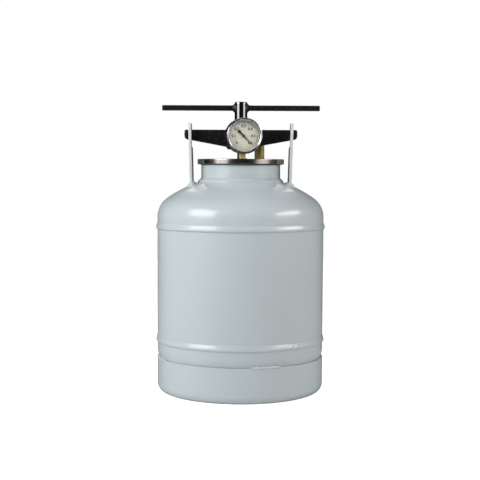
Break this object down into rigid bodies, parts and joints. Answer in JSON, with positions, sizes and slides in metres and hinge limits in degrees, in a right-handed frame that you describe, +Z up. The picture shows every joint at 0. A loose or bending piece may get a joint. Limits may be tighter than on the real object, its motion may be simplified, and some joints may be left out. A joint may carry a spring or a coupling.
{
  "type": "screw-clamped pressure vessel",
  "caption": "Dished steel pressure vessel with a necked mouth, a flat lid held down by a yoke and T-bar screw, a dial gauge and a relief valve.",
  "frame": {"origin": "on the floor, under the axis of the vessel, at the middle of the foot ring", "axes": "+Z up along the vessel's axis, -Y towards the side that the gauge faces, +X to the right of a viewer who reads the gauge"},
  "size_m": [0.304, 0.304, 0.5202],
  "materials": {
    "vessel_paint": "glossy light grey enamel over steel sheet",
    "bare_steel": "plain turned steel",
    "grid_steel": "punched stainless sheet",
    "lid_steel": "turned and blued steel",
    "gasket_rubber": "moulded rubber",
    "black_paint": "black enamel",
    "polished_steel": "polished",
    "case_paint": "black enamel on pressed sheet",
    "window_glass": "clear",
    "dial_paint": "ivory enamel",
    "pointer_paint": "black",
    "brass": "machined",
    "washer_copper": "soft copper",
    "spring_steel": "drawn wire and strip"
  },
  "bodies": {
    "vessel": {"shell": "vessel_paint", "upper_dome": "vessel_paint", "lower_dome": "vessel_paint", "upper_seam_weld": "vessel_paint", "lower_seam_weld": "vessel_paint", "upper_backing_ring": "bare_steel", "lower_backing_ring": "bare_steel", "neck": "vessel_paint", "neck_weld_ring": "vessel_paint", "foot_ring": "vessel_paint", "foot_tack_welds": "vessel_paint", "left_hook": "vessel_paint", "right_hook": "vessel_paint", "jar_grid": "grid_steel"},
    "yoke": {"yoke": "black_paint"},
    "lid": {"lid_plate": "lid_steel", "lid_gasket": "gasket_rubber", "screw_socket": "bare_steel", "collar_keepers": "bare_steel", "keeper_screws": "bare_steel", "gauge_washer": "washer_copper", "gauge_socket": "brass", "gauge_case": "case_paint", "gauge_bezel": "polished_steel", "gauge_window": "window_glass", "gauge_dial": "dial_paint", "bourdon_tube": "brass", "movement_frame": "brass", "valve_washer": "washer_copper", "valve_body": "brass", "valve_cap": "brass", "valve_spring": "spring_steel"},
    "screw": {"clamp_screw": "polished_steel", "tommy_bar": "black_paint", "bar_welds": "black_paint"},
    "pointer": {"gauge_pointer": "pointer_paint", "pointer_pinion": "brass"},
    "sector": {"sector_gear": "brass"},
    "link": {"bourdon_link": "spring_steel"},
    "poppet": {"valve_poppet": "brass", "poppet_seal": "gasket_rubber", "valve_knob": "brass"}
  },
  "joints": [
    {"name": "yoke_slide", "type": "slide", "parent": "vessel", "child": "yoke", "axis": [0, 1, 0], "range_m": [0, 0.03]},
    {"name": "lid_lift", "type": "slide", "parent": "yoke", "child": "lid", "axis": [0, 0, 1], "range_m": [0, 0.01]},
    {"name": "screw_turn", "type": "hinge", "parent": "lid", "child": "screw", "pos_m": [0, 0, 0.4177], "axis": [0, 0, 1], "range_deg": [0, 1440]},
    {"name": "sector_turn", "type": "hinge", "parent": "lid", "child": "sector", "pos_m": [0.00869, -0.04475, 0.44727], "axis": [0.2079, -0.9781, 0], "range_deg": [-38.57, 0]},
    {"name": "pointer_turn", "type": "hinge", "parent": "lid", "child": "pointer", "pos_m": [0.0028, -0.046, 0.4577], "axis": [0.2079, -0.9781, 0], "range_deg": [0, 270]},
    {"name": "link_turn", "type": "hinge", "parent": "sector", "child": "link", "pos_m": [0.01447, -0.04352, 0.44831], "axis": [0.2079, -0.9781, 0], "range_deg": [0, 38.57]},
    {"name": "valve_lift", "type": "slide", "parent": "lid", "child": "poppet", "axis": [0, 0, 1], "range_m": [0, 0.0025], "stiffness_N_per_m": 3000, "springref_m": -0.003, "deforming": ["valve_spring"]}
  ],
  "couplings": [
    {"joint": "lid_lift", "follows": "screw_turn", "m_per_rad": 0.00039788},
    {"joint": "pointer_turn", "follows": "sector_turn", "ratio": -7},
    {"joint": "link_turn", "follows": "sector_turn", "ratio": -1}
  ]
}
